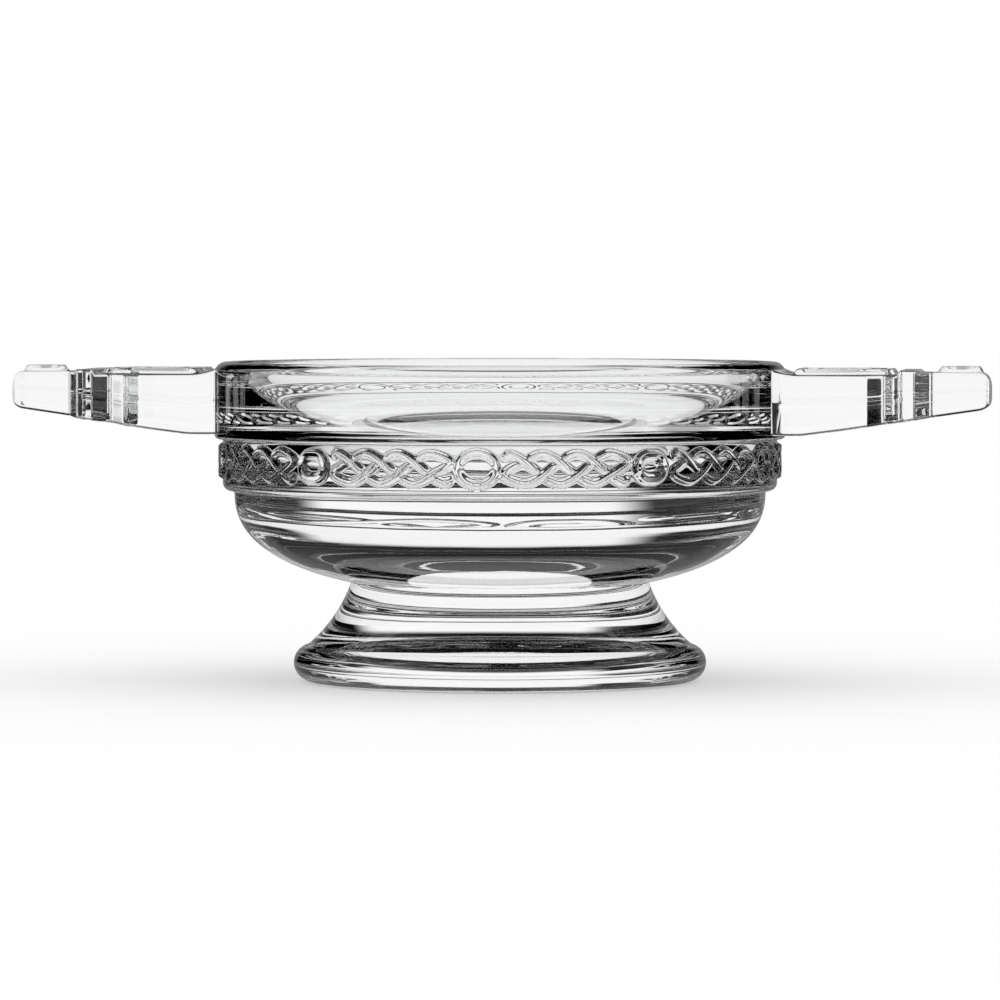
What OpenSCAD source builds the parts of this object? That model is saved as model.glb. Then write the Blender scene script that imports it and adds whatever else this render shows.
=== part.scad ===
// Quaich: a shallow two-handled drinking cup in clear moulded glass.
// A heavy bowl with a band of raised interlace stands on a flared foot, and two flat lugs are
// joined to the upper wall, one on each side. Nothing on it moves.
// Millimetres, +Z up. The origin is on the table under the middle of the bowl; the lugs lie along X.

/* [Foot] */
// Height of the foot, from the table to its joint under the bowl
foot_h = 19.6; // [15:0.2:28]
// Diameter of the foot at its widest
foot_d = 82.6; // [76:0.2:104]
// Radius of the rounded edge of the foot
foot_edge_r = 3.6; // [2.4:0.1:5]
// Diameter of the neck, where the foot meets the bowl
neck_d = 59.6; // [48:0.2:66]
// How far the side of the foot is hollowed from a straight cone
foot_flare_bow = 1; // [0:0.1:2]
// Diameter of the shallow dome pressed into the underside
foot_dome_d = 64; // [40:0.5:66]
// Height of that dome at its middle
foot_dome_h = 3; // [0.6:0.1:5]

/* [Bowl] */
// Outer diameter of the upper wall
bowl_d = 114; // [104:0.5:140]
// Height of the upper wall, from the band to the rim
wall_h = 15.3; // [12:0.1:24]
// Thickness of the rim, which is rounded right over
rim_t = 4.4; // [3:0.1:6]
// Radius of the curve inside the bowl, from the rim to the floor
hollow_r = 22.2; // [18:0.2:28]
// Angle at which that curve runs into the dished floor
floor_dish_angle = 2.5; // [2:0.5:8]
// Bevel along the lower edge of the upper wall
wall_bevel = 0.6; // [0.2:0.1:0.8]
// Height of the lower bowl, from the joint with the foot to the band
lower_h = 18.3; // [14:0.1:26]
// Diameter of the lower bowl where it meets the band
lower_d = 106.2; // [96:0.2:108]
// Fullness of the lower bowl: 2 is an ellipse, more is squarer
lower_fullness = 2.4; // [2:0.1:3]

/* [Interlace band] */
// Height of the band
band_h = 10.4; // [9:0.1:14]
// Depth of the band's floor below the upper wall
band_recess = 1.6; // [1.2:0.1:2]
// Radius of the rounded lower edge of the band
band_edge_r = 1.6; // [0.6:0.1:1.8]
// Number of repeats round the band, each with a roundel, a ring and two plaits
repeats = 5; // [4:1:6]
// Angle that turns the pattern round the bowl, from the left lug
pattern_turn = 56; // [0:0.5:72]
// Height of the raised pattern
relief_h = 0.9; // [0.4:0.1:1.1]
// Width of a plaited strand
strand_w = 1.5; // [0.9:0.1:1.7]
// Height of the plait, between the middles of its highest and lowest strands
plait_h = 5.6; // [5:0.1:7]
// Outer diameter of a plain ring
ring_d = 7.6; // [6:0.1:8.4]
// Width of the ring's own strand
ring_w = 1.5; // [1:0.1:2]
// Outer diameter of a roundel
roundel_d = 7.2; // [6:0.1:8.4]
// Diameter of the dimple in a roundel
dimple_d = 3.8; // [2:0.1:4.4]
// Depth of that dimple
dimple_depth = 0.7; // [0.2:0.1:0.8]
// Gap left between a plait and its neighbours
pattern_gap = 0.5; // [0.3:0.1:1]
// Gap left where a strand passes under another
strand_clear = 0.15; // [0.1:0.05:0.4]

/* [Lugs] */
// Length of a lug, from the wall to its tip
lug_l = 41; // [37:0.5:54]
// Width of a lug at its shoulders
lug_w = 28; // [24:0.5:40]
// Thickness of a lug at its tip
lug_tip_t = 7; // [5:0.1:9]
// How far the lugs lie below the rim
lug_drop = 2.2; // [1.8:0.1:4]
// Height of the lugs' underside above the band
lug_lift = 0.9; // [0.9:0.1:3]
// Length of the level part under the root of a lug
lug_level_l = 5; // [2:0.5:12]
// Length of the shoulders, from the wall to the scallops
shoulder_l = 17; // [15:0.5:22]
// Radius of the scallop cut into each side
scallop_r = 3.1; // [1:0.1:4]
// Length of the crest beyond the scallops
crest_l = 3.2; // [1:0.1:5]
// Length over which a lug steps in to its end tab
step_l = 2.7; // [1:0.1:4]
// Width of the end tab
tab_w = 13.4; // [12:0.2:20]
// Radius of the tab's corners
corner_r = 2.2; // [0.5:0.1:4]

/* [Lug ornament] */
// Radius of the three arcs of the knot on a lug
knot_arc_r = 6.4; // [5:0.1:7.4]
// Distance from the wall to the middle of the knot
knot_l = 11.5; // [10.5:0.5:13]
// Width of the knot's strand
knot_w = 1.6; // [1:0.1:1.8]
// Height of the ornament on the lugs
knot_h = 1.2; // [0.4:0.1:1.6]
// Outer diameter of the ring on the end tab
tab_ring_d = 8.6; // [6:0.1:10]

/* [Joints] */
// Thickness of the clear film that bonds the pieces
bond_t = 0.1; // [0.05:0.05:0.3]

/* [Hidden] */
$fn = 96;

GLASS = [0.90, 0.93, 0.93, 0.45];
RELIEF = [0.80, 0.85, 0.86, 0.70];
FILM = [0.95, 0.96, 0.90, 0.60];

foot_r = foot_d / 2;
neck_r = neck_d / 2;
wall_r = bowl_d / 2;
lower_r = lower_d / 2;
band_r = wall_r - band_recess;
rim_r = rim_t / 2;

seat_z = foot_h + bond_t;
band_low_z = seat_z + lower_h;
band_top_z = band_low_z + band_h;
rim_z = band_top_z + wall_h;

// The hollow's arc and the rim's arc touch at one point, on the line between their middles
rim_c = [wall_r - rim_r, rim_z - rim_r];
hollow_c = [rim_c.x - sqrt(pow(hollow_r + rim_r, 2) - pow(rim_r, 2)), rim_z];
rim_meets = atan2(rim_r, rim_c.x - hollow_c.x);
dish_r = hollow_c.x / sin(floor_dish_angle) + hollow_r;
dish_c = [0, rim_z + (dish_r - hollow_r) * cos(floor_dish_angle)];

// The relief sits in the upright part of the band, above its rounded edge
relief_mid_z = (band_low_z + band_edge_r + band_top_z) / 2;
panel_angle = 180 / repeats;
panel_l = band_r * panel_angle * PI / 180 - (ring_d + roundel_d) / 2 - 2 * pattern_gap;
// A plait is this many crossing pitches long between the middles of its end loops
PLAIT_PITCHES = 3.7;
plait_pitch = (panel_l - strand_w) / PLAIT_PITCHES;
plait_half_h = plait_h / 2;

lug_top_z = rim_z - lug_drop;
lug_under_z = band_top_z + lug_lift;
tip_x = wall_r + lug_l;
scallop_x = wall_r + shoulder_l + scallop_r;
crest_x = scallop_x + scallop_r + crest_l;
tab_x = crest_x + step_l;
knot_x = wall_r + knot_l;
tab_mid_x = (tab_x + tip_x) / 2;

// A strand's flat top takes up this share of its width; the rest is its sloping sides
STRAND_TOP = 0.55;

function arc(c, r, from, to, steps) =
    [for (i = [0:steps]) let (a = from + (to - from) * i / steps) c + r * [cos(a), sin(a)]];

function mirrored(side) =
    concat(side, [for (i = [len(side) - 1:-1:0]) [side[i].x, -side[i].y]]);

// Foot: a turned pedestal with a rounded edge, hollowed sides and a shallow dome underneath
function dome_points(steps = 10) =
    let (a = foot_dome_d / 2, r = (a * a + foot_dome_h * foot_dome_h) / (2 * foot_dome_h))
    [for (i = [0:steps]) let (x = a * i / steps) [x, sqrt(r * r - x * x) - r + foot_dome_h]];

function flare_points(from, to, steps = 12) =
    let (chord = to - from, out = [-chord.y, chord.x] / norm(chord))
    [for (i = [1:steps]) let (t = i / steps) from + t * chord + out * foot_flare_bow * 4 * t * (1 - t)];

function foot_outline() =
    let (edge = arc([foot_r - foot_edge_r, foot_edge_r], foot_edge_r, -90, 78, 14))
    concat(dome_points(), edge, flare_points(edge[len(edge) - 1], [neck_r, foot_h]), [[0, foot_h]]);

module foot() {
    color(GLASS)
        rotate_extrude()
            polygon(foot_outline());
}

module foot_bond() {
    color(FILM)
        translate([0, 0, foot_h])
            cylinder(r = neck_r, h = bond_t);
}

// Bowl: turned in one piece, from its seat on the foot up to the rim and down into the hollow
function lower_points(steps = 22) =
    let (
        power = 2 / lower_fullness,
        start = acos(pow(neck_r / lower_r, 1 / power)),
        depth = lower_h / pow(sin(start), power)
    )
    [for (i = [0:steps]) let (a = start * (1 - i / steps))
        [lower_r * pow(cos(a), power), band_low_z - depth * pow(sin(a), power)]];

function bowl_outline() = concat(
    [[0, seat_z]],
    lower_points(),
    arc([band_r - band_edge_r, band_low_z + band_edge_r], band_edge_r, -90, 0, 6),
    [[band_r, band_top_z], [wall_r - wall_bevel, band_top_z], [wall_r, band_top_z + wall_bevel]],
    arc(rim_c, rim_r, 0, 180 - rim_meets, 14),
    arc(hollow_c, hollow_r, -rim_meets, floor_dish_angle - 90, 22),
    arc(dish_c, dish_r, floor_dish_angle - 90, -90, 6)
);

// The rim's arc and the hollow's share a point, as do the hollow's and the dish's
function without_repeats(points) =
    [for (i = [0:len(points) - 1]) if (i == 0 || norm(points[i] - points[i - 1]) > 0.001) points[i]];

module bowl() {
    color(GLASS)
        rotate_extrude()
            polygon(without_repeats(bowl_outline()));
}

// Raised strands: a path in a flat drawing, given a section and laid on the glass by a placing rule.
// The drawing's three directions are along, up and out of the surface.
STRAND_SECTION = [[-0.5, 0], [0.5, 0], [0.5 * STRAND_TOP, 1], [-0.5 * STRAND_TOP, 1]];

function unit(v) = v / norm(v);

function neighbour(path, i, step, closed) =
    closed ? path[(i + step + len(path)) % len(path)] : path[min(max(i + step, 0), len(path) - 1)];

function strand_loops(path, closed, w, h, place) = [
    for (i = [0:len(path) - 1])
        let (
            ahead = neighbour(path, i, 1, closed) - path[i],
            behind = path[i] - neighbour(path, i, -1, closed),
            leave = unit(norm(ahead) > 0 ? ahead : behind),
            arrive = unit(norm(behind) > 0 ? behind : ahead),
            heading = unit(leave + arrive),
            mitre = 1 / (heading * leave)
        )
        [for (s = STRAND_SECTION)
            let (q = path[i] + s.x * w * mitre * [-heading.y, heading.x])
            place(q.x, q.y, s.y * h)]
];

function middle_of(loop) = [for (p = loop) 1] * loop / len(loop);

// A skin is a list of loops and whether the last joins the first; an open skin is capped at both ends
function skin_points(skin) =
    let (loops = skin[0], last = len(loops) - 1)
    concat([for (loop = loops) each loop], skin[1] ? [] : [middle_of(loops[0]), middle_of(loops[last])]);

function skin_faces(skin, start) =
    let (
        count = len(skin[0]),
        sides = len(skin[0][0]),
        end = start + (count - 1) * sides,
        cap = end + sides
    )
    concat(
        [for (i = [0:count - (skin[1] ? 1 : 2)], s = [0:sides - 1], half = [0, 1])
            let (
                here = start + i * sides,
                next = start + (i + 1) % count * sides,
                t = (s + 1) % sides
            )
            half == 0 ? [here + s, next + s, next + t] : [here + s, next + t, here + t]],
        skin[1] ? [] : [for (s = [0:sides - 1]) [cap, start + s, start + (s + 1) % sides]],
        skin[1] ? [] : [for (s = [0:sides - 1]) [cap + 1, end + (s + 1) % sides, end + s]]
    );

function start_of(sizes, i) = i == 0 ? 0 : sizes[i - 1] + start_of(sizes, i - 1);

module skins(list) {
    sizes = [for (skin = list) len(skin_points(skin))];
    polyhedron(
        [for (skin = list) each skin_points(skin)],
        [for (i = [0:len(list) - 1]) each skin_faces(list[i], start_of(sizes, i))]
    );
}

// A smooth curve through every point of a path
SMOOTH_STEPS = 3;

function blend(a, b, c, d, t) =
    0.5 * (2 * b + (c - a) * t + (2 * a - 5 * b + 4 * c - d) * t * t + (3 * b - a - 3 * c + d) * t * t * t);

function smooth(path) =
    let (last = len(path) - 1)
    concat(
        [for (i = [0:last - 1], s = [0:SMOOTH_STEPS - 1])
            blend(path[max(i - 1, 0)], path[i], path[i + 1], path[min(i + 2, last)], s / SMOOTH_STEPS)],
        [path[last]]
    );

// Interlace: a three-strand plait drawn on a grid of crossings, in pitches along and half heights up.
// Each bar runs over one crossing and stops short of the two bars that it passes under.
UP = [[-1.25, 0.5], [-0.25, 0.5], [0.75, 0.5]];
LOW = [[-0.75, -0.5], [0.25, -0.5], [1.25, -0.5]];
LEFT_TURN = [-1.82, -0.4];
RIGHT_TURN = [1.82, 0.4];
LEFT_CURL = [[-1.85, 0.42], [-1.68, 0.98]];
RIGHT_CURL = [[1.68, -0.98], [1.85, -0.42]];

cross_angle = 2 * atan2(plait_half_h, plait_pitch / 2);
tuck_l = (strand_w / 2 * (1 + cos(cross_angle)) + strand_clear) / sin(cross_angle);

function to_band(p) = [p.x * plait_pitch, p.y * plait_half_h];

function tuck(crossing, toward) =
    crossing + (toward - crossing) * tuck_l / norm(to_band(toward - crossing));

function top_of(i) = UP[i] + [0.5, 0.5];

function bottom_of(i) = LOW[i] + [0.5, -0.5];

function plait_bars() = [
    [LEFT_CURL[0], LEFT_CURL[1], UP[0], tuck(LOW[0], UP[0])],
    [tuck(UP[0], LEFT_TURN), LEFT_TURN, LOW[0] - [0.5, 0.5], LOW[0], tuck(UP[1], LOW[0])],
    [tuck(UP[0], top_of(0)), top_of(0), UP[1], tuck(LOW[1], UP[1])],
    [tuck(LOW[0], bottom_of(0)), bottom_of(0), LOW[1], tuck(UP[2], LOW[1])],
    [tuck(UP[1], top_of(1)), top_of(1), UP[2], tuck(LOW[2], UP[2])],
    [tuck(UP[2], top_of(2)), top_of(2), RIGHT_TURN, LOW[2], bottom_of(1), tuck(LOW[1], bottom_of(1))],
    [tuck(LOW[2], RIGHT_CURL[0]), RIGHT_CURL[0], RIGHT_CURL[1]]
];

function on_band(turn) = function (along, up, out)
    let (a = turn + along / band_r * 180 / PI)
    [(band_r + out) * cos(a), (band_r + out) * sin(a), relief_mid_z + up];

// The pattern starts at the left lug; half repeats hold a roundel, a plait, a ring and a plait
function band_turn(half_repeats) = 180 + pattern_turn + half_repeats * panel_angle;

module band_plait() {
    paths = [for (bar = plait_bars()) smooth([for (p = bar) to_band(p)])];
    color(RELIEF)
        skins([for (i = [0:2 * repeats - 1], path = paths)
            [strand_loops(path, false, strand_w, relief_h, on_band(band_turn(i + 0.5))), false]]);
}

// Points round a ring or a roundel
ROUND_STEPS = 24;

function ring_path(d) =
    [for (i = [0:ROUND_STEPS - 1]) let (a = i * 360 / ROUND_STEPS) d / 2 * [cos(a), sin(a)]];

module band_rings() {
    path = ring_path(ring_d - ring_w);
    color(RELIEF)
        skins([for (i = [0:repeats - 1])
            [strand_loops(path, true, ring_w, relief_h, on_band(band_turn(2 * i + 1))), true]]);
}

// Roundel: a flat-topped boss with a dimple, as circles of falling size from its foot to its middle
function roundel_steps(steps = 3) =
    let (
        a = dimple_d / 2,
        r = (a * a + dimple_depth * dimple_depth) / (2 * dimple_depth),
        spread = asin(a / r),
        slope = strand_w * (1 - STRAND_TOP) / 2
    )
    concat(
        [[roundel_d, 0], [roundel_d - 2 * slope, relief_h]],
        [for (i = [0:steps - 1]) let (t = spread * (1 - i / steps))
            [2 * r * sin(t), relief_h - dimple_depth + r * (1 - cos(t))]]
    );

module band_roundels() {
    color(RELIEF)
        skins([for (i = [0:repeats - 1])
            let (place = on_band(band_turn(2 * i)))
            [[for (s = roundel_steps()) [for (p = ring_path(s[0])) place(p.x, p.y, s[1])]], false]]);
}

// Lug: a flat handle with scalloped shoulders and a square tab, thinner towards its tip
function lug_side() = concat(
    [[0, lug_w / 2]],
    arc([scallop_x, lug_w / 2], scallop_r, 180, 360, 10),
    [[crest_x, lug_w / 2], [tab_x, tab_w / 2]],
    arc([tip_x - corner_r, tab_w / 2 - corner_r], corner_r, 90, 0, 6)
);

function lug_profile() = [
    [0, lug_under_z],
    [wall_r + lug_level_l, lug_under_z],
    [tip_x, lug_top_z - lug_tip_t],
    [tip_x, lug_top_z],
    [0, lug_top_z]
];

module lug_blank() {
    intersection() {
        translate([0, 0, lug_under_z])
            linear_extrude(height = lug_top_z - lug_under_z)
                polygon(mirrored(lug_side()));
        rotate([90, 0, 0])
            linear_extrude(height = 2 * lug_w, center = true)
                polygon(lug_profile());
    }
}

// The root is cut to the round of the wall, less the bonding film
module lug() {
    difference() {
        lug_blank();
        cylinder(r = wall_r + bond_t, h = rim_z);
    }
}

module lug_bond() {
    difference() {
        intersection() {
            lug_blank();
            cylinder(r = wall_r + bond_t, h = rim_z);
        }
        cylinder(r = wall_r, h = rim_z);
        translate([-2 * wall_r, -wall_r, 0])
            cube([2 * wall_r, 2 * wall_r, rim_z]);
    }
}

module to_left() {
    rotate([0, 0, 180])
        children();
}

module left_lug() {
    color(GLASS)
        to_left()
            lug();
}

module right_lug() {
    color(GLASS)
        lug();
}

module left_lug_bond() {
    color(FILM)
        to_left()
            lug_bond();
}

module right_lug_bond() {
    color(FILM)
        lug_bond();
}

// Lug ornament: a three-cornered knot of half-circle arcs, and a plain ring on the tab.
// Arcs cross 30 degrees each side of their middles, at 60 degrees, and meet at 60 degrees in a corner.
KNOT_CROSSING = 30;
KNOT_MEETING = 60;
knot_tuck_l = (knot_w / 2 * (1 + cos(KNOT_MEETING)) + strand_clear) / sin(KNOT_MEETING);
tuck_angle = knot_tuck_l / knot_arc_r * 180 / PI;
// Each arc stops this far from the corner point, so that the mitre has room
corner_angle = knot_w / tan(KNOT_MEETING / 2) / knot_arc_r * 180 / PI;

function knot_run(turn, from, to, steps) =
    arc(knot_arc_r / sqrt(3) * [cos(turn), sin(turn)], knot_arc_r, turn + 180 + from, turn + 180 + to, steps);

function knot_hook(turn) = concat(
    knot_run(turn, tuck_angle - KNOT_CROSSING, 90 - corner_angle, 8),
    [knot_run(turn, 90, 90, 1)[0]],
    knot_run(turn - 120, corner_angle - 90, -KNOT_CROSSING - tuck_angle, 3)
);

function on_lug(x) = function (along, up, out) [x + along, up, lug_top_z + out];

module lug_knot() {
    hooks = [for (i = [0:2]) knot_hook(60 + 120 * i)];
    skins(concat(
        [for (hook = hooks) [strand_loops(hook, false, knot_w, knot_h, on_lug(knot_x)), false]],
        [[strand_loops(ring_path(tab_ring_d - knot_w), true, knot_w, knot_h, on_lug(tab_mid_x)), true]]
    ));
}

module left_lug_knot() {
    color(RELIEF)
        to_left()
            lug_knot();
}

module right_lug_knot() {
    color(RELIEF)
        lug_knot();
}

foot();
foot_bond();
bowl();
band_plait();
band_rings();
band_roundels();
left_lug_bond();
right_lug_bond();
left_lug();
right_lug();
left_lug_knot();
right_lug_knot();
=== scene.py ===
import math

import bmesh
import bpy
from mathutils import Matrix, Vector


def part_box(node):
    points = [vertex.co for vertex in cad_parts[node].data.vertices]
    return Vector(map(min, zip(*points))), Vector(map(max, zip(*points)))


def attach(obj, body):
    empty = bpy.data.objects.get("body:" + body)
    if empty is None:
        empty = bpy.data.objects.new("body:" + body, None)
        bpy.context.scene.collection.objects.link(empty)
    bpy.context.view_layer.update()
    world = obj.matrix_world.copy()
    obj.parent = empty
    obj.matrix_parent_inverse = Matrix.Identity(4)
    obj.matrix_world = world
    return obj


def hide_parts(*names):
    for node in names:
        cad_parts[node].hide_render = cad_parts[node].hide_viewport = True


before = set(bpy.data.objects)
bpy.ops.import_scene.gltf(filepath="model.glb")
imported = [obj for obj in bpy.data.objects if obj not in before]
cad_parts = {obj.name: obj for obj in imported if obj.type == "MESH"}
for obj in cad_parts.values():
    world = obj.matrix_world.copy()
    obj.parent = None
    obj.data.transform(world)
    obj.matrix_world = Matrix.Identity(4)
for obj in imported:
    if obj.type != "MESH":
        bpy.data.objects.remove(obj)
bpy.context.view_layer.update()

# Bowl
# A heavy bowl of clear, colourless glass, pressed in a mould and fire-polished: a thick round rim, an
# upright wall, a recessed band with raised interlace, and a full lower part, solid under the hollow.
# It is bonded to the foot below and to a lug on each side.
bowl_low, bowl_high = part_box("bowl")
wall_r = bowl_high.x
rim_z = bowl_high.z
seat_z = bowl_low.z
neck_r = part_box("foot_bond")[1].x
rim_round = 0.0022
hollow_r = 0.0222
dish_angle = 2.5
lower_h = 0.0183
band_h = 0.0104
recess = 0.0016
band_low_z = seat_z + lower_h
band_top_z = band_low_z + band_h
band_r = wall_r - recess
band_edge_r = 0.0016
wall_bevel = 0.0006
wall_clear = (0.0009, 0.0004)
wall_rows = 8
crease_r = 0.0003
lower_r = 0.0531
lower_fullness = 2.4
bowl_columns = 240
band_columns = 1440
band_row = 0.00021

repeats = 5
pattern_turn = math.radians(236)
relief = 0.0009
strand_w = 0.00155
strand_slope = (0.2, 0.62)
strand_dive = 0.85
dive_length = 1.25
path_step = 0.0003
plait_pitch = 0.00673
plait_half_h = 0.0028
relief_mid_z = 0.044
ring_half = (0.0036, 0.0031)
roundel_spine = 0.0012
roundel_r = 0.0035
roundel_slope = 0.0006
dimple_r = 0.0018
dimple_d = 0.0013


def arc(centre, radius, start, end, steps):
    """Points on a circle from one angle to another, in degrees."""
    angles = [math.radians(start + (end - start) * i / steps) for i in range(steps + 1)]
    return [(centre[0] + radius * math.cos(a), centre[1] + radius * math.sin(a)) for a in angles]


def straight(start, end, steps):
    """Evenly spaced points from one place to another."""
    return [tuple(s + (e - s) * i / steps for s, e in zip(start, end)) for i in range(steps + 1)]


def lower_curve(steps=40):
    """The full lower bowl, a squared ellipse from the joint with the foot up to the band."""
    power = 2 / lower_fullness
    start = math.acos((neck_r / lower_r) ** (1 / power))
    depth = (band_low_z - seat_z) / math.sin(start) ** power
    turns = [start * (1 - i / steps) for i in range(steps + 1)]
    return [(lower_r * math.cos(a) ** power, band_low_z - depth * math.sin(a) ** power) for a in turns]


def hollow_curve():
    """The inside: over the rim, down a wide arc that starts upright at the rim, on to a dished floor."""
    rim_c = (wall_r - rim_round, rim_z - rim_round)
    hollow_c = (rim_c[0] - math.sqrt((hollow_r + rim_round) ** 2 - rim_round ** 2), rim_z)
    meets = math.degrees(math.atan2(rim_round, rim_c[0] - hollow_c[0]))
    dish_r = hollow_c[0] / math.sin(math.radians(dish_angle)) + hollow_r
    dish_c = (0, rim_z + (dish_r - hollow_r) * math.cos(math.radians(dish_angle)))
    rim = arc(rim_c, rim_round, 0, 180 - meets, 20)
    wall = arc(hollow_c, hollow_r, -meets, dish_angle - 90, 44)
    return rim + wall[1:] + arc(dish_c, dish_r, dish_angle - 90, -90, 14)[1:]


def bowl_stretches():
    """The bowl's outline in stretches, each with its number of columns."""
    edge_c = (band_r - band_edge_r, band_low_z + band_edge_r)
    band_foot = band_low_z + band_edge_r
    band_head = band_top_z - crease_r
    band_rows = round((band_head - band_foot) / band_row)
    bevel_c = (wall_r - wall_bevel, band_top_z + wall_bevel)
    wall_foot = (wall_r, band_top_z + wall_clear[0])
    wall_head = (wall_r, rim_z - rim_round - wall_clear[1])
    return [
        ([(0, seat_z)] + straight((neck_r * 0.1, seat_z), (neck_r, seat_z), 9), bowl_columns),
        (lower_curve()[1:-1], bowl_columns),
        (arc((lower_r + crease_r, band_low_z - crease_r), crease_r, 180, 90, 4), bowl_columns),
        (arc(edge_c, band_edge_r, -90, -10, 8), bowl_columns),
        (straight((band_r, band_foot), (band_r, band_head), band_rows), band_columns),
        (arc((band_r + crease_r, band_head), crease_r, 170, 90, 4), bowl_columns),
        (arc(bevel_c, wall_bevel, -90, 0, 6), bowl_columns),
        (straight(wall_foot, wall_head, wall_rows), bowl_columns),
        (hollow_curve(), bowl_columns),
    ]


def span(i, count, columns):
    """The corners of one row that face i touches; a pole has one."""
    if count == 1:
        return [0]
    step = count // columns
    return list(range(i * step, i * step + step + 1))


def turned(name, stretches):
    """A closed mesh turned about Z; where the number of columns changes, one face spans several."""
    rows = [(r, z, columns) for points, columns in stretches for r, z in points]
    corners, loops = [], []
    for r, z, columns in rows:
        columns = 1 if r < 1e-7 else columns
        angles = [2 * math.pi * i / columns for i in range(columns)]
        loops.append(range(len(corners), len(corners) + columns))
        corners += [(r * math.cos(a), r * math.sin(a), z) for a in angles]
    faces = []
    for low, high in zip(loops, loops[1:]):
        columns = min(n for n in (len(low), len(high)) if n > 1)
        for i in range(columns):
            side = [low[j % len(low)] for j in span(i, len(low), columns)]
            back = [high[j % len(high)] for j in reversed(span(i, len(high), columns))]
            faces.append(side + back)
    mesh = bpy.data.meshes.new(name)
    mesh.from_pydata(corners, [], faces)
    return mesh


def put(tree, kind, inputs=None, **settings):
    """Adds a node; each input is another node's output or a plain value."""
    made = tree.nodes.new(kind)
    for name, value in settings.items():
        setattr(made, name, value)
    for key, value in (inputs or {}).items():
        if isinstance(value, bpy.types.NodeSocket):
            tree.links.new(value, made.inputs[key])
        else:
            made.inputs[key].default_value = value
    return made


def maths(tree, operation, first, second=0.0):
    """One step of arithmetic on numbers or on other nodes' outputs."""
    return put(tree, "ShaderNodeMath", {0: first, 1: second}, operation=operation).outputs[0]


def new_material(name):
    """A material and its node tree, empty so far."""
    material = bpy.data.materials.new(name)
    material.use_nodes = True
    material.node_tree.nodes.clear()
    return material, material.node_tree


def clear_glass():
    """Colourless glass with the faint waves that pressing and fire-polishing leave."""
    material, tree = new_material("clear_glass")
    place = put(tree, "ShaderNodeTexCoord").outputs["Object"]
    swell = put(tree, "ShaderNodeTexNoise", {"Vector": place, "Scale": 55.0, "Detail": 1.0})
    fine_share = 0.035
    fine = put(tree, "ShaderNodeTexNoise", {"Vector": place, "Scale": 420.0, "Detail": 2.0})
    height = maths(tree, "MULTIPLY_ADD", fine.outputs[0], fine_share)
    tree.links.new(swell.outputs[0], height.node.inputs[2])
    bump = put(tree, "ShaderNodeBump", {"Height": height, "Strength": 1.0, "Distance": 0.00006})
    glass = put(tree, "ShaderNodeBsdfPrincipled", {
        "Base Color": (0.985, 0.99, 0.99, 1), "Roughness": 0.0, "IOR": 1.52, "Transmission Weight": 1.0,
        "Normal": bump.outputs[0]})
    put(tree, "ShaderNodeOutputMaterial", {"Surface": glass.outputs[0]})
    return material


def clear_joint():
    """The face of a bonded joint: glass meets glass there, so that light goes straight on."""
    material, tree = new_material("clear_joint")
    through = put(tree, "ShaderNodeBsdfTransparent", {"Color": (1, 1, 1, 1)})
    put(tree, "ShaderNodeOutputMaterial", {"Surface": through.outputs[0]})
    return material


def close_up(mesh, joint):
    """Points the faces outwards, gives the glass its two materials and a crisp edge round each joint."""
    work = bmesh.new()
    work.from_mesh(mesh)
    bmesh.ops.recalc_face_normals(work, faces=work.faces)
    for face in work.faces:
        face.material_index = 1 if joint(face.calc_center_median()) else 0
        face.smooth = True
    for edge in work.edges:
        edge.smooth = len({face.material_index for face in edge.link_faces}) == 1
    work.to_mesh(mesh)
    work.free()
    mesh.materials.append(GLASS)
    mesh.materials.append(JOINT)


def shown(name, mesh):
    """Puts a mesh, or the camera, into the scene at the origin."""
    piece = bpy.data.objects.new(name, mesh)
    bpy.context.scene.collection.objects.link(piece)
    return piece


def drawing(name, chains):
    """A flat drawing of paths, each a chain of edges; a closed path comes round to its first point."""
    corners, edges = [], []
    for path, closed in chains:
        first = len(corners)
        corners += [(x, y, 0) for x, y in path]
        edges += [(i, i + 1) for i in range(first, len(corners) - 1)]
        if closed:
            edges.append((len(corners) - 1, first))
    mesh = bpy.data.meshes.new(name)
    mesh.from_pydata(corners, edges, [])
    return shown(name, mesh)


def plait(along):
    """A three-strand plait: each bar goes over one crossing and dives under a strand at both ends."""
    up = [Vector((x, 0.5)) for x in (-1.25, -0.25, 0.75)]
    low = [Vector((x, -0.5)) for x in (-0.75, 0.25, 1.25)]
    top = [p + Vector((0.5, 0.5)) for p in up]
    bottom = [p + Vector((0.5, -0.5)) for p in low]
    bars = [
        [Vector((-1.85, 0.42)), Vector((-1.68, 0.98)), up[0], low[0]],
        [up[0], Vector((-1.82, -0.4)), low[0] - Vector((0.5, 0.5)), low[0], up[1]],
        [up[0], top[0], up[1], low[1]],
        [low[0], bottom[0], low[1], up[2]],
        [up[1], top[1], up[2], low[2]],
        [up[2], top[2], Vector((1.82, 0.4)), low[2], bottom[1], low[1]],
        [low[2], Vector((1.68, -0.98)), Vector((1.85, -0.42))],
    ]
    return [([(along + p.x * plait_pitch, p.y * plait_half_h) for p in bar], False) for bar in bars]


def strand_drawing():
    """One repeat of the band, drawn flat: a plait, an oval ring and a second plait."""
    panel = band_r * math.pi / repeats
    turns = [2 * math.pi * i / 24 for i in range(24)]
    ring = [(panel + ring_half[0] * math.cos(a), ring_half[1] * math.sin(a)) for a in turns]
    return plait(panel / 2) + [(ring, True)] + plait(panel * 1.5)


def named_inputs(tree, wanted):
    """Gives a new tree its inputs and one geometry output, and returns the inputs' outlets by name."""
    for name, kind in wanted:
        tree.interface.new_socket(name=name, in_out="INPUT", socket_type=kind)
    tree.interface.new_socket(name="Geometry", in_out="OUTPUT", socket_type="NodeSocketGeometry")
    return put(tree, "NodeGroupInput").outputs


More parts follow.
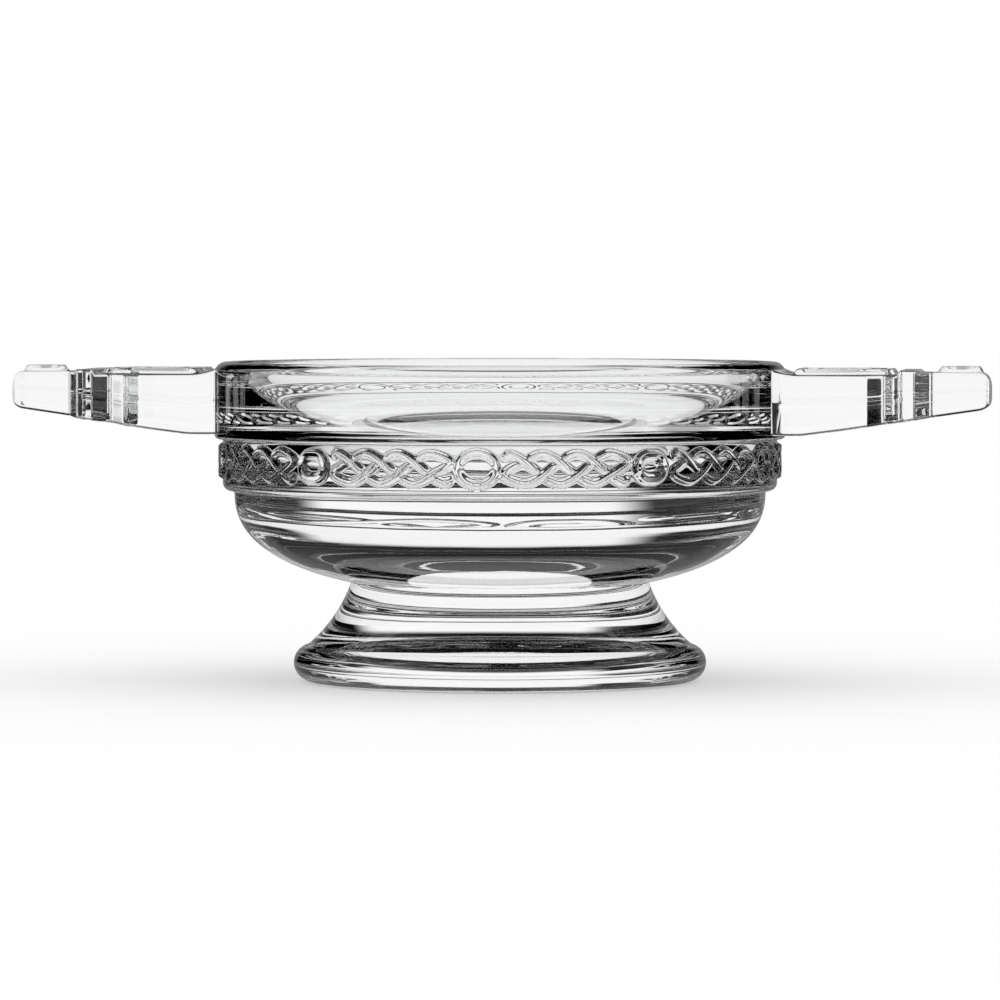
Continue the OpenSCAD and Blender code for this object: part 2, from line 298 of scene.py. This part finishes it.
def diving_paths(tree, picture, width):
    """The drawn paths as smooth curves, and how deep each point dives: open paths dive at both ends."""
    info = put(tree, "GeometryNodeObjectInfo", {"Object": picture})
    chain = put(tree, "GeometryNodeMeshToCurve", {"Mesh": info.outputs["Geometry"]})
    smooth = put(tree, "GeometryNodeCurveSplineType", {"Curve": chain.outputs[0]},
                 spline_type="CATMULL_ROM")
    dense = put(tree, "GeometryNodeResampleCurve", {"Curve": smooth.outputs[0], "Length": path_step},
                mode="LENGTH")
    gone = put(tree, "GeometryNodeSplineParameter").outputs["Length"]
    total = put(tree, "GeometryNodeSplineLength").outputs["Length"]
    left = maths(tree, "MINIMUM", gone, maths(tree, "SUBTRACT", total, gone))
    down = put(tree, "ShaderNodeMapRange", {
        "Value": left, "From Min": 0.0, "From Max": maths(tree, "MULTIPLY", width, dive_length),
        "To Min": maths(tree, "MULTIPLY", width, strand_dive), "To Max": 0.0},
        interpolation_type="SMOOTHSTEP")
    open_path = maths(tree, "SUBTRACT", 1.0, put(tree, "GeometryNodeInputSplineCyclic").outputs[0])
    return dense.outputs[0], maths(tree, "MULTIPLY", down.outputs[0], open_path)


def position_parts(tree):
    """Each point's own X, Y and Z."""
    here = put(tree, "GeometryNodeInputPosition").outputs[0]
    return put(tree, "ShaderNodeSeparateXYZ", {0: here}).outputs


def wrapped(tree, curves, depth, inputs):
    """Lays flat curves round the band and repeats them about the bowl's axis, as one mesh of edges."""
    flat = position_parts(tree)
    angle = maths(tree, "DIVIDE", flat[0], inputs["Band Radius"])
    out = maths(tree, "SUBTRACT", inputs["Band Radius"], depth)
    place = put(tree, "ShaderNodeCombineXYZ", {
        0: maths(tree, "MULTIPLY", out, maths(tree, "COSINE", angle)),
        1: maths(tree, "MULTIPLY", out, maths(tree, "SINE", angle)),
        2: maths(tree, "ADD", flat[1], inputs["Middle Height"])})
    bent = put(tree, "GeometryNodeSetPosition", {"Geometry": curves, "Position": place.outputs[0]})
    lines = put(tree, "GeometryNodeCurveToMesh", {"Curve": bent.outputs[0]})
    single = put(tree, "GeometryNodeGeometryToInstance", {"Geometry": lines.outputs[0]})
    many = put(tree, "GeometryNodeDuplicateElements", {
        "Geometry": single.outputs[0], "Amount": inputs["Repeats"]}, domain="INSTANCE")
    step = maths(tree, "DIVIDE", 2 * math.pi, inputs["Repeats"])
    turn = maths(tree, "MULTIPLY_ADD", many.outputs["Duplicate Index"], step)
    tree.links.new(inputs["Pattern Turn"], turn.node.inputs[2])
    spin = put(tree, "ShaderNodeCombineXYZ", {2: turn})
    all_round = put(tree, "GeometryNodeRotateInstances", {
        "Instances": many.outputs["Geometry"], "Rotation": spin.outputs[0]})
    return put(tree, "GeometryNodeRealizeInstances", {0: all_round.outputs[0]}).outputs[0]


def rise(tree, lines, near, far, height, spot):
    """How far the glass stands up at a spot, softly less away from the lines, and their distance."""
    apart = put(tree, "GeometryNodeProximity", {0: lines, "Sample Position": spot},
                target_element="EDGES").outputs["Distance"]
    return put(tree, "ShaderNodeMapRange", {
        "Value": apart, "From Min": near, "From Max": far, "To Min": height, "To Max": 0.0},
        interpolation_type="SMOOTHSTEP").outputs[0], apart


def flagged(tree, name):
    """The points or faces that carry a flag of this name."""
    return put(tree, "GeometryNodeInputNamedAttribute", {"Name": name}, data_type="BOOLEAN").outputs[0]


def pushed(tree, geometry, offset):
    """Moves the points that are flagged as raised."""
    return put(tree, "GeometryNodeSetPosition", {
        "Geometry": geometry, "Selection": flagged(tree, "raised"), "Offset": offset}).outputs[0]


def two_materials(tree, geometry):
    """Glass everywhere, and the clear joint on the faces flagged for it."""
    whole = put(tree, "GeometryNodeRealizeInstances", {0: geometry})
    glass = put(tree, "GeometryNodeSetMaterial", {"Geometry": whole.outputs[0], "Material": GLASS})
    both = put(tree, "GeometryNodeSetMaterial", {
        "Geometry": glass.outputs[0], "Selection": flagged(tree, "bonded"), "Material": JOINT})
    put(tree, "NodeGroupOutput", {0: both.outputs[0]})


def band_tree():
    """Raises the interlace and the roundels out of the band's surface."""
    tree = bpy.data.node_groups.new("band_relief", "GeometryNodeTree")
    inputs = named_inputs(tree, [
        ("Geometry", "NodeSocketGeometry"), ("Strands", "NodeSocketObject"),
        ("Roundels", "NodeSocketObject"), ("Repeats", "NodeSocketInt"),
        ("Band Radius", "NodeSocketFloat"), ("Middle Height", "NodeSocketFloat"),
        ("Pattern Turn", "NodeSocketFloat"), ("Strand Width", "NodeSocketFloat"),
        ("Relief", "NodeSocketFloat"), ("Roundel Radius", "NodeSocketFloat"),
        ("Dimple Radius", "NodeSocketFloat"), ("Dimple Depth", "NodeSocketFloat")])
    width = inputs["Strand Width"]
    spot = put(tree, "GeometryNodeInputPosition").outputs[0]
    curves, depth = diving_paths(tree, inputs["Strands"], width)
    near, far = [maths(tree, "MULTIPLY", width, share) for share in strand_slope]
    strands = rise(tree, wrapped(tree, curves, depth, inputs), near, far, inputs["Relief"], spot)[0]
    spine = put(tree, "GeometryNodeMeshToCurve", {
        "Mesh": put(tree, "GeometryNodeObjectInfo", {"Object": inputs["Roundels"]}).outputs["Geometry"]})
    spines = wrapped(tree, spine.outputs[0], 0.0, inputs)
    disc, apart = rise(tree, spines, maths(tree, "SUBTRACT", inputs["Roundel Radius"], roundel_slope),
                       inputs["Roundel Radius"], inputs["Relief"], spot)
    share = maths(tree, "POWER", maths(tree, "DIVIDE", apart, inputs["Dimple Radius"]), 2.0)
    dip = maths(tree, "MULTIPLY", maths(tree, "MAXIMUM", maths(tree, "SUBTRACT", 1.0, share), 0.0),
                inputs["Dimple Depth"])
    height = maths(tree, "MAXIMUM", strands, maths(tree, "SUBTRACT", disc, dip))
    here = put(tree, "ShaderNodeSeparateXYZ", {0: spot}).outputs
    level = put(tree, "ShaderNodeCombineXYZ", {0: here[0], 1: here[1]})
    away = put(tree, "ShaderNodeVectorMath", {0: level.outputs[0]}, operation="NORMALIZE")
    push = put(tree, "ShaderNodeVectorMath", {0: away.outputs[0], "Scale": height}, operation="SCALE")
    two_materials(tree, pushed(tree, inputs["Geometry"], push.outputs[0]))
    return tree


def mark(mesh, name, domain, flags):
    """Flags points or faces by name, for the node trees to read."""
    mesh.attributes.new(name, "BOOLEAN", domain).data.foreach_set("value", flags)


def grown(piece, tree, values):
    """Runs a node tree on a piece and keeps the result as a plain mesh."""
    modifier = piece.modifiers.new(tree.name, "NODES")
    modifier.node_group = tree
    for item in tree.interface.items_tree:
        if item.in_out == "INPUT" and item.name in values:
            modifier[item.identifier] = values[item.name]
    ready = piece.evaluated_get(bpy.context.evaluated_depsgraph_get())
    mesh = bpy.data.meshes.new_from_object(ready)
    piece.modifiers.clear()
    piece.data = mesh
    for helper in [v for v in values.values() if isinstance(v, bpy.types.Object)]:
        bpy.data.objects.remove(helper)


def on_bowl_joint(centre):
    """True on the seat over the foot."""
    return centre.z < seat_z + 1e-6


GLASS = clear_glass()
JOINT = clear_joint()
bowl_mesh = turned("bowl_glass", bowl_stretches())
close_up(bowl_mesh, on_bowl_joint)
mark(bowl_mesh, "bonded", "FACE", [face.material_index == 1 for face in bowl_mesh.polygons])
band_edge = 0.0001
upright = (band_low_z + band_edge_r + band_edge, band_top_z - crease_r - band_edge)
on_band = [upright[0] < v.co.z < upright[1] and v.co.xy.length > band_r - band_edge
           for v in bowl_mesh.vertices]
mark(bowl_mesh, "raised", "POINT", on_band)
bowl = shown("bowl_glass", bowl_mesh)
grown(bowl, band_tree(), {
    "Strands": drawing("strand_drawing", strand_drawing()),
    "Roundels": drawing("roundel_drawing", [([(-roundel_spine / 2, 0), (roundel_spine / 2, 0)], False)]),
    "Band Radius": band_r, "Middle Height": relief_mid_z, "Repeats": repeats,
    "Pattern Turn": pattern_turn, "Strand Width": strand_w, "Relief": relief,
    "Roundel Radius": roundel_r, "Dimple Radius": dimple_r, "Dimple Depth": dimple_d})
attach(bowl, "root")
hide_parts("bowl", "band_plait", "band_rings", "band_roundels")

# Foot
# A solid pedestal of the same glass with a rounded edge and hollowed sides, pressed with a small dome
# underneath and bonded to the bowl at its neck.
foot_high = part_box("foot")[1]
foot_r = foot_high.x
foot_edge_r = 0.0036
foot_edge_to = 78
dome_r = 0.032
dome_h = 0.003
flare_bow = 0.001
foot_steps = 24
seat_rows = 10


def foot_stretches():
    """The foot's outline: the dome underneath, the rounded edge, the hollowed flare and the seat."""
    curve = (dome_r ** 2 + dome_h ** 2) / (2 * dome_h)
    radii = [dome_r * i / foot_steps for i in range(foot_steps + 1)]
    dome = [(x, math.sqrt(curve ** 2 - x ** 2) - curve + dome_h) for x in radii]
    edge = arc((foot_r - foot_edge_r, foot_edge_r), foot_edge_r, -90, foot_edge_to, 26)
    start, end = Vector(edge[-1]), Vector((neck_r, foot_high.z))
    out = Vector((-(end - start).y, (end - start).x)).normalized()
    steps = [i / foot_steps for i in range(1, foot_steps + 1)]
    flare = [tuple(start.lerp(end, t) + out * flare_bow * 4 * t * (1 - t)) for t in steps]
    top = [(x * neck_r / seat_rows, foot_high.z) for x in range(seat_rows - 1, -1, -1)]
    return [(dome + edge + flare + top, bowl_columns)]


foot_mesh = turned("foot_glass", foot_stretches())
close_up(foot_mesh, lambda centre: centre.z > foot_high.z - 1e-6)
foot = shown("foot_glass", foot_mesh)
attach(foot, "root")
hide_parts("foot", "foot_bond")

# Lugs
# Two flat handles of clear glass, pressed with notched shoulders, a raised crest, a step and an end tab,
# with a bordered three-cornered knot and a ring standing on top. Each is bonded to the wall under the
# rim, and a fine mould seam runs round it at half its height.
lug_low, lug_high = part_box("right_lug")
lug_half_w = lug_high.y
lug_top = lug_high.z
lug_under = lug_low.z
tip_x = lug_high.x
tip_t = 0.007
level_l = 0.005
shoulder_l = 0.017
scallop_r = 0.0031
scallop_d = 0.004
crest_l = 0.0032
step_l = 0.0027
tab_half = 0.0067
tab_corner_r = 0.0022
plan_round = 0.0006
sharp_turn = 0.35
plan_step = 0.0003
edge_e = 0.0008
root_gap = 0.00003
root_bend_l = 0.012
fillet_h = 0.0011
fillet_l = 0.0045
crest_lift = 0.00095
crest_slope = (-0.0004, 0.0003)
tab_drop = 0.00045
tab_slope = (0.0002, 0.001)
top_sink = 0.00025
seam = 0.00012
seam_half_w = 0.00025
nose_r = 0.0024
nose_end = 0.98
nose_under = 0.6
tip_steps = 8
scallop_x = wall_r + shoulder_l + scallop_r
crest_x = scallop_x + scallop_r + crest_l
tab_x = crest_x + step_l
knot_x = wall_r + 0.0115
knot_arc_r = 0.0064
knot_w = 0.0018
knot_h = 0.0012
knot_slope = (0.1, 0.75)
knot_clear = 0.001
knot_hook = ((0, -30, 88, 16), (-120, -88, -30, 8))
tab_ring_r = 0.0035
border_ends = (0.0034, 0.0013)
border_insets = (0.0026, 0.0072)
border_bend = (-0.0012, -0.0002)
border_round = 0.0012
border_step = 0.0008
top_steps = 96
edge_steps = 5
seam_rows = 4
side_steps = 2 * seam_rows + 2


def soften(path, radius, steps=5):
    """Rounds every sharp corner of a path."""
    done = [path[0]]
    for before, here, after in zip(path, path[1:], path[2:]):
        here = Vector(here)
        a, b = Vector(before) - here, Vector(after) - here
        turn = math.pi - a.angle(b)
        if turn < sharp_turn:
            done.append(tuple(here))
            continue
        cut = min(radius * math.tan(turn / 2), a.length * 0.45, b.length * 0.45)
        p, q = here + a.normalized() * cut, here + b.normalized() * cut
        for i in range(steps + 1):
            t = i / steps
            done.append(tuple(p * (1 - t) ** 2 + here * 2 * t * (1 - t) + q * t ** 2))
    done.append(path[-1])
    return done


def filled(path, step):
    """Adds points so that none is further than a step from the next."""
    done = [path[0]]
    for a, b in zip(path, path[1:]):
        count = max(1, math.ceil((Vector(b) - Vector(a)).length / step))
        done += straight(a, b, count)[1:]
    return done


def lug_plan():
    """One side of the lug seen from above: shoulder, notch, crest, step, tab and the tab's corner."""
    path = [(wall_r + root_gap, lug_half_w)]
    path += [(scallop_x - scallop_r, lug_half_w), (scallop_x, lug_half_w - scallop_d)]
    path += [(scallop_x + scallop_r, lug_half_w), (crest_x, lug_half_w)]
    path += [(tab_x, tab_half), (tip_x - tab_corner_r, tab_half)]
    path = soften(path, plan_round)
    path += arc((tip_x - tab_corner_r, tab_half - tab_corner_r), tab_corner_r, 90, 40, 6)[1:]
    return filled(path, plan_step)


def eased(x, start, end):
    """0 before the start, 1 after the end and a soft slope between them."""
    t = min(1.0, max(0.0, (x - start) / (end - start)))
    return t * t * (3 - 2 * t)


def lug_lift(x):
    """How far the top stands over the lug's level: a fillet at the wall, the crest and the tab."""
    fillet = fillet_h * max(0.0, 1 - (x - wall_r) / fillet_l) ** 2
    crest = crest_lift * eased(x, *[crest_x - crest_l + slope for slope in crest_slope])
    tab = tab_drop * eased(x, *[crest_x + slope for slope in tab_slope])
    return fillet + crest - tab - top_sink


def seamed_side(high, low):
    """Heights down one side, each with how far it stands out: only the seam at half height does."""
    middle = (high + low) / 2
    above = straight((0, high), (0, middle + seam_half_w), seam_rows)
    below = straight((0, middle - seam_half_w), (0, low), seam_rows)
    return above + [(seam, middle)] + below


def lug_section(half, low, high):
    """A rounded rectangle round the lug, with the seam on both sides."""
    side = seamed_side(high - edge_e, low + edge_e)
    ring = straight((half - edge_e, high), (edge_e - half, high), top_steps)
    ring += arc((edge_e - half, high - edge_e), edge_e, 90, 180, edge_steps)[1:]
    ring += [(-half - out, z) for out, z in side[1:]]
    ring += arc((edge_e - half, low + edge_e), edge_e, 180, 270, edge_steps)[1:]
    ring += straight((edge_e - half, low), (half - edge_e, low), top_steps)[1:]
    ring += arc((half - edge_e, low + edge_e), edge_e, -90, 0, edge_steps)[1:]
    ring += [(half + out, z) for out, z in reversed(side[:-1])]
    return ring + arc((half - edge_e, high - edge_e), edge_e, 0, 90, edge_steps)[1:-1]


def lug_mesh(name, side):
    """The lug as a row of sections from the wall to the tip, closed at both ends by strips of faces."""
    stations = [(x, half, 0.0) for x, half in lug_plan()]
    last_x, last_half, _ = stations[-1]
    for i in range(1, tip_steps + 1):
        turn = math.radians(90 * i / tip_steps)
        x = last_x + (tip_x - last_x) * math.sin(turn)
        stations.append((x, last_half, edge_e * (1 - math.cos(turn))))
    corners, rings = [], []
    for x, half, inset in stations:
        slope = max(0.0, x - wall_r - level_l) / (tip_x - wall_r - level_l)
        nose = min(nose_end, max(0.0, (x - tip_x + nose_r) / nose_r))
        drop = nose_r * (1 - math.sqrt(1 - nose ** 2)) + inset
        low = lug_under + (lug_top - tip_t - lug_under) * slope + drop * nose_under
        ring = lug_section(half - inset, low, lug_top + lug_lift(x) - drop)
        rings.append(range(len(corners), len(corners) + len(ring)))
        fade = max(0.0, 1 - (x - wall_r) / root_bend_l)
        for y, z in ring:
            back = (math.sqrt(wall_r ** 2 - y ** 2) - wall_r) * fade
            corners.append((side * (x + back), side * y, z))
    faces = []
    for a, b in zip(rings, rings[1:]):
        n = len(a)
        faces += [(a[i], a[(i + 1) % n], b[(i + 1) % n], b[i]) for i in range(n)]
    first_low = top_steps + 2 * edge_steps + side_steps
    for end in (rings[0], rings[-1]):
        for i in range(top_steps):
            j = first_low + top_steps - i
            faces.append((end[i], end[i + 1], end[j - 1], end[j]))
        faces.append(tuple(end[top_steps:first_low + 1]))
        faces.append(tuple(end[first_low + top_steps:]) + (end[0],))
    mesh = bpy.data.meshes.new(name)
    mesh.from_pydata(corners, [], faces)
    raised = [i % len(rings[0]) < top_steps and wall_r + knot_clear < abs(c[0]) < tip_x - knot_clear
              for i, c in enumerate(corners)]
    return mesh, raised


def border():
    """A line round the shoulders' top, kept clear of the notches."""
    near, far = wall_r + border_ends[0], scallop_x + border_ends[1]
    wide, narrow = [lug_half_w - inset for inset in border_insets]
    half = [(near, 0), (near, wide), (scallop_x - scallop_r + border_bend[0], wide),
            (scallop_x + border_bend[1], narrow), (far, narrow), (far, 0)]
    half = filled(soften(half, border_round), border_step)
    return half + [(x, -y) for x, y in reversed(half[1:-1])]


def knot_drawing(side):
    """Three hooked strands that make a three-cornered knot, its border, and the tab's ring."""
    chains = [([(side * x, side * y) for x, y in border()], True)]
    for turn in (60, 180, 300):
        hook = []
        for step, start, end, steps in knot_hook:
            at = turn + step
            toward = Vector((math.cos(math.radians(at)), math.sin(math.radians(at))))
            middle = toward * knot_arc_r / math.sqrt(3)
            hook += arc(middle, knot_arc_r, at + 180 + start, at + 180 + end, steps)
        chains.append(([(side * (knot_x + x), side * y) for x, y in hook], False))
    ring = arc(((tab_x + tip_x) / 2, 0), tab_ring_r, 0, 345, 23)
    chains.append(([(side * x, side * y) for x, y in ring], True))
    return chains


def lug_tree():
    """Raises the drawn strands out of the lug's top."""
    tree = bpy.data.node_groups.new("lug_relief", "GeometryNodeTree")
    inputs = named_inputs(tree, [
        ("Geometry", "NodeSocketGeometry"), ("Strands", "NodeSocketObject"),
        ("Strand Width", "NodeSocketFloat"), ("Relief", "NodeSocketFloat")])
    width = inputs["Strand Width"]
    curves, depth = diving_paths(tree, inputs["Strands"], width)
    drop = put(tree, "ShaderNodeCombineXYZ", {2: maths(tree, "MULTIPLY", depth, -1.0)})
    sunk = put(tree, "GeometryNodeSetPosition", {"Geometry": curves, "Offset": drop.outputs[0]})
    lines = put(tree, "GeometryNodeCurveToMesh", {"Curve": sunk.outputs[0]})
    here = position_parts(tree)
    spot = put(tree, "ShaderNodeCombineXYZ", {0: here[0], 1: here[1]})
    near, far = [maths(tree, "MULTIPLY", width, share) for share in knot_slope]
    height = rise(tree, lines.outputs[0], near, far, inputs["Relief"], spot.outputs[0])[0]
    push = put(tree, "ShaderNodeCombineXYZ", {2: height})
    two_materials(tree, pushed(tree, inputs["Geometry"], push.outputs[0]))
    return tree


knots = lug_tree()
for name, side in (("left_lug", -1), ("right_lug", 1)):
    mesh, raised = lug_mesh(name + "_glass", side)
    close_up(mesh, lambda centre: False)
    mark(mesh, "raised", "POINT", raised)
    lug = shown(name + "_glass", mesh)
    grown(lug, knots, {"Strands": drawing("knot_drawing", knot_drawing(side)), "Strand Width": knot_w,
                       "Relief": knot_h})
    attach(lug, "root")
    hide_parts(name, name + "_bond", name + "_knot")

# Floor
# A plain pale studio floor that takes the cup's soft shadow. Seen through the glass it also shows dark
# cards out on each side, beyond the picture, and painted shade under each lug: they draw the clear glass.
reach = 6.0
floor_z = -0.0002
floor_tone = 0.65
floor_glow = 0.35
screen_half = math.radians(27)
room_from = math.radians(122)
card_r = 0.4
card_soft = 0.08
# Painted shade under each lug: a grey patch in the floor's glow that only rays from the glass see.
painted_lug_shade = (math.radians(73), math.radians(107))
painted_lug_shade_r = (0.06, 0.12)
painted_lug_shade_soft = 0.012
painted_lug_shade_depth = 0.5
soft_edge = math.radians(5)
white_tone = 0.97
dark_tone = 0.004
mirror_tone = 0.3


def fades(tree, value, edge, soft, start, end):
    """One tone before an edge, another after it, and a soft change between them."""
    return put(tree, "ShaderNodeMapRange", {
        "Value": value, "From Min": edge - soft, "From Max": edge + soft, "To Min": start, "To Max": end},
        interpolation_type="SMOOTHSTEP").outputs[0]


def between(tree, value, low, high, soft):
    """1 between two edges and 0 outside them."""
    return maths(tree, "MULTIPLY", fades(tree, value, low, soft, 0.0, 1.0),
                 fades(tree, value, high, soft, 1.0, 0.0))


def side_angle(tree, toward):
    """How far a direction or a place is turned from straight behind the cup, and its height."""
    along = put(tree, "ShaderNodeSeparateXYZ", {0: toward}).outputs
    return maths(tree, "ABSOLUTE", maths(tree, "ARCTAN2", along[0], along[1])), along[2]


def through_glass(tree):
    """Whether a ray comes from the glass, and how strongly it sees: less when the surface mirrors it."""
    rays = put(tree, "ShaderNodeLightPath").outputs
    mirrored = maths(tree, "MULTIPLY", rays["Is Reflection Ray"], 1.0 - mirror_tone)
    return (maths(tree, "MAXIMUM", rays["Is Glossy Ray"], rays["Is Transmission Ray"]),
            maths(tree, "SUBTRACT", 1.0, mirrored))


floor_mesh = bpy.data.meshes.new("floor")
floor_mesh.from_pydata([(-reach, -reach, floor_z), (reach, -reach, floor_z), (reach, reach, floor_z),
                        (-reach, reach, floor_z)], [], [(0, 1, 2, 3)])
floor = shown("floor", floor_mesh)
floor_paint, floor_tree = new_material("floor_paint")
matt = put(floor_tree, "ShaderNodeBsdfDiffuse", {"Color": (floor_tone, floor_tone, floor_tone, 1)})
glow = put(floor_tree, "ShaderNodeEmission", {"Color": (1, 1, 1, 1), "Strength": floor_glow})
white = put(floor_tree, "ShaderNodeAddShader", {0: matt.outputs[0], 1: glow.outputs[0]})
place = put(floor_tree, "ShaderNodeTexCoord").outputs["Object"]
aside = side_angle(floor_tree, place)[0]
away = put(floor_tree, "ShaderNodeVectorMath", {0: place}, operation="LENGTH").outputs["Value"]
far_card = maths(floor_tree, "MULTIPLY", between(floor_tree, aside, screen_half, room_from, soft_edge),
                 fades(floor_tree, away, card_r, card_soft, 0.0, 1.0))
# Painted shade: grey on the floor under each lug, seen only through the glass.
painted_lug_shade_mask = maths(floor_tree, "MULTIPLY", between(floor_tree, aside, *painted_lug_shade, soft_edge),
                  between(floor_tree, away, *painted_lug_shade_r, painted_lug_shade_soft))
dark = maths(floor_tree, "MAXIMUM", far_card, maths(floor_tree, "MULTIPLY", painted_lug_shade_mask, painted_lug_shade_depth))
lost = maths(floor_tree, "MULTIPLY", dark, white_tone - dark_tone)
seen = maths(floor_tree, "SUBTRACT", white_tone, lost)
from_glass, strength = through_glass(floor_tree)
# The floor's glow as the glass sees it: white, dark cards at the sides and painted shade under the lugs.
cards_and_painted_shade = put(floor_tree, "ShaderNodeEmission", {"Color": seen, "Strength": strength})
either = put(floor_tree, "ShaderNodeMixShader", {0: from_glass, 1: white.outputs[0], 2: cards_and_painted_shade.outputs[0]})
put(floor_tree, "ShaderNodeOutputMaterial", {"Surface": either.outputs[0]})
floor_mesh.materials.append(floor_paint)

# Light
# A bright screen behind the cup, dark screens beside and above it and a dimmer room behind the camera:
# the bright field that draws clear glass in black and white. The camera and the floor see plain white.
screen_top = math.radians(13)
room_tone = 0.6
world = bpy.data.worlds.new("studio")
bpy.context.scene.world = world
world.use_nodes = True
sky = world.node_tree
sky.nodes.clear()
aside, height = side_angle(sky, put(sky, "ShaderNodeTexCoord").outputs["Generated"])
screen = fades(sky, aside, screen_half, soft_edge, 1.0, dark_tone)
tone = maths(sky, "MAXIMUM", screen, fades(sky, aside, room_from, soft_edge, dark_tone, room_tone))
below = fades(sky, maths(sky, "ARCSINE", height), screen_top, soft_edge, 1.0, dark_tone)
plain = put(sky, "ShaderNodeBackground", {"Color": (1, 1, 1, 1), "Strength": 1.0})
from_glass, strength = through_glass(sky)
lit = maths(sky, "MULTIPLY", tone, below)
field = put(sky, "ShaderNodeBackground", {"Color": lit, "Strength": strength})
sight = put(sky, "ShaderNodeMixShader", {0: from_glass, 1: plain.outputs[0], 2: field.outputs[0]})
put(sky, "ShaderNodeOutputWorld", {"Surface": sight.outputs[0]})

# Camera
# A little over the rim's height and a little to the right of the front, as in the photograph.
stand_off = 1.2
yaw = math.radians(6.5)
eye_z = 0.08
aim_z = 0.036
view_w = 0.2
film_w = 36
eye = Vector((stand_off * math.sin(yaw), -stand_off * math.cos(yaw), eye_z))
aim = Vector((0, 0, aim_z))
camera_data = bpy.data.cameras.new("camera")
camera = shown("camera", camera_data)
bpy.context.scene.camera = camera
camera.location = eye
camera.rotation_euler = (aim - eye).to_track_quat("-Z", "Y").to_euler()
camera_data.sensor_width = film_w
camera_data.lens = film_w * stand_off / view_w
bpy.context.scene.view_settings.view_transform = "Standard"
